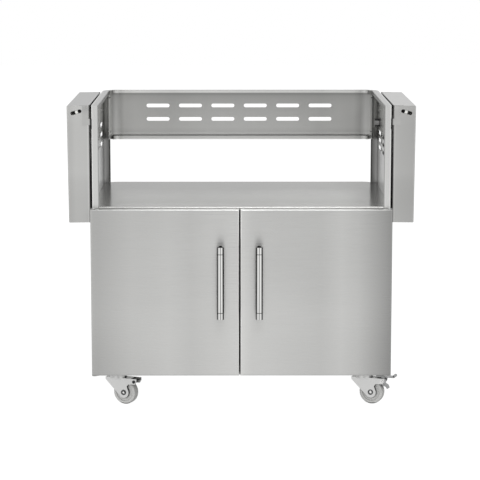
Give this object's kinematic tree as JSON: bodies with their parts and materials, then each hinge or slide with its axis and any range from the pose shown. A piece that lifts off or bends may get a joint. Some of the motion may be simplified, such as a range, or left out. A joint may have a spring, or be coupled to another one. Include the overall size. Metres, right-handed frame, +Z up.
{
  "type": "grill cart",
  "caption": "Rolling steel cart for a drop-in grill, with a deck between vented sides, double doors, bar handles, fold-down side shelves and swivel casters.",
  "frame": {"origin": "centre of the bounding box on the floor under the wheels", "axes": "+Z up, +X to the right of a person facing the doors, the doors and handles face -Y"},
  "size_m": [1.041, 0.6804, 0.92],
  "materials": {
    "brushed_panel": "fine horizontal grain",
    "galvanised": "dull galvanised",
    "black_rubber": "matt",
    "bright_steel": "plain bright steel",
    "white_nylon": "smooth moulded",
    "magnet": "matt sintered",
    "black_pin": "black oxide",
    "brushed_shelf": "fine grain along the shelf",
    "brushed_door": "fine horizontal grain",
    "handle_steel": "turned satin",
    "zinc": "bright zinc plate",
    "grey_tread": "smooth pale grey tread",
    "pedal_steel": "dark zinc plate"
  },
  "bodies": {
    "cabinet": {"base_pan": "brushed_panel", "left_side_panel": "brushed_panel", "right_side_panel": "brushed_panel", "lower_back_panel": "brushed_panel", "upper_back_panel": "brushed_panel", "deck": "brushed_panel", "deck_stiffeners": "galvanised", "bottle_ring": "galvanised", "hose_grommet": "black_rubber", "left_door_hinges": "bright_steel", "right_door_hinges": "bright_steel", "hinge_screws": "bright_steel", "magnet_catches": "white_nylon", "catch_magnets": "magnet", "panel_screws": "bright_steel", "left_front_shelf_bracket": "bright_steel", "left_rear_shelf_bracket": "bright_steel", "right_front_shelf_bracket": "bright_steel", "right_rear_shelf_bracket": "bright_steel", "shelf_bracket_screws": "bright_steel", "left_shelf_pivots": "black_pin", "right_shelf_pivots": "black_pin", "left_shelf_washers": "white_nylon", "right_shelf_washers": "white_nylon", "shelf_bumpers": "black_rubber", "front_caster_plates": "zinc", "rear_caster_plates": "zinc", "caster_bolts": "bright_steel"},
    "left_door": {"left_door_skin": "brushed_door", "left_door_liner": "brushed_door", "left_door_bushes": "white_nylon", "left_strike_plate": "galvanised", "left_handle_bar": "handle_steel", "left_handle_ends": "handle_steel", "left_handle_screws": "bright_steel"},
    "left_shelf": {"left_shelf": "brushed_shelf", "left_shelf_stiffener": "galvanised"},
    "right_door": {"right_door_skin": "brushed_door", "right_door_liner": "brushed_door", "right_door_bushes": "white_nylon", "right_strike_plate": "galvanised", "right_handle_bar": "handle_steel", "right_handle_ends": "handle_steel", "right_handle_screws": "bright_steel"},
    "right_shelf": {"right_shelf": "brushed_shelf", "right_shelf_stiffener": "galvanised"},
    "left_front_swivel": {"left_front_fork": "zinc", "left_front_axle": "zinc"},
    "left_front_wheel": {"left_front_wheel": "grey_tread"},
    "left_rear_swivel": {"left_rear_fork": "zinc", "left_rear_axle": "zinc"},
    "left_rear_wheel": {"left_rear_wheel": "grey_tread"},
    "right_front_swivel": {"right_front_fork": "zinc", "right_front_axle": "zinc"},
    "right_front_wheel": {"right_front_wheel": "grey_tread"},
    "right_rear_swivel": {"right_rear_fork": "zinc", "right_rear_axle": "zinc"},
    "right_rear_wheel": {"right_rear_wheel": "grey_tread"},
    "right_front_pedal": {"right_front_brake_pedal": "pedal_steel"},
    "right_rear_pedal": {"right_rear_brake_pedal": "pedal_steel"}
  },
  "joints": [
    {"name": "left_door_hinge", "type": "hinge", "parent": "cabinet", "child": "left_door", "pos_m": [-0.444, -0.27375, 0.104], "axis": [0, 0, -1], "range_deg": [0, 105]},
    {"name": "right_door_hinge", "type": "hinge", "parent": "cabinet", "child": "right_door", "pos_m": [0.444, -0.27375, 0.104], "axis": [0, 0, 1], "range_deg": [0, 105]},
    {"name": "left_shelf_fold", "type": "hinge", "parent": "cabinet", "child": "left_shelf", "pos_m": [-0.48133, -0.25975, 0.90321], "axis": [0, 1, 0], "range_deg": [0, 90.57]},
    {"name": "right_shelf_fold", "type": "hinge", "parent": "cabinet", "child": "right_shelf", "pos_m": [0.48133, -0.25975, 0.90321], "axis": [0, -1, 0], "range_deg": [0, 90.57]},
    {"name": "left_front_swivel", "type": "hinge", "parent": "cabinet", "child": "left_front_swivel", "pos_m": [-0.377, -0.19375, 0.102], "axis": [0, 0, 1], "continuous": true},
    {"name": "left_front_wheel_spin", "type": "hinge", "parent": "left_front_swivel", "child": "left_front_wheel", "pos_m": [-0.35325, -0.20433, 0.0375], "axis": [0.4067, 0.9135, 0], "continuous": true},
    {"name": "left_rear_swivel", "type": "hinge", "parent": "cabinet", "child": "left_rear_swivel", "pos_m": [-0.377, 0.27425, 0.102], "axis": [0, 0, 1], "continuous": true},
    {"name": "left_rear_wheel_spin", "type": "hinge", "parent": "left_rear_swivel", "child": "left_rear_wheel", "pos_m": [-0.35325, 0.26367, 0.0375], "axis": [0.4067, 0.9135, 0], "continuous": true},
    {"name": "right_front_swivel", "type": "hinge", "parent": "cabinet", "child": "right_front_swivel", "pos_m": [0.377, -0.19375, 0.102], "axis": [0, 0, 1], "continuous": true},
    {"name": "right_front_wheel_spin", "type": "hinge", "parent": "right_front_swivel", "child": "right_front_wheel", "pos_m": [0.40135, -0.20286, 0.0375], "axis": [0.3502, 0.9367, 0], "continuous": true},
    {"name": "right_rear_swivel", "type": "hinge", "parent": "cabinet", "child": "right_rear_swivel", "pos_m": [0.377, 0.27425, 0.102], "axis": [0, 0, 1], "continuous": true},
    {"name": "right_rear_wheel_spin", "type": "hinge", "parent": "right_rear_swivel", "child": "right_rear_wheel", "pos_m": [0.40135, 0.26514, 0.0375], "axis": [0.3502, 0.9367, 0], "continuous": true},
    {"name": "right_front_brake", "type": "hinge", "parent": "right_front_swivel", "child": "right_front_pedal", "pos_m": [0.43414, -0.21511, 0.073], "axis": [0.3502, 0.9367, 0], "range_deg": [0, 24]},
    {"name": "right_rear_brake", "type": "hinge", "parent": "right_rear_swivel", "child": "right_rear_pedal", "pos_m": [0.43414, 0.25289, 0.073], "axis": [0.3502, 0.9367, 0], "range_deg": [0, 24]}
  ]
}
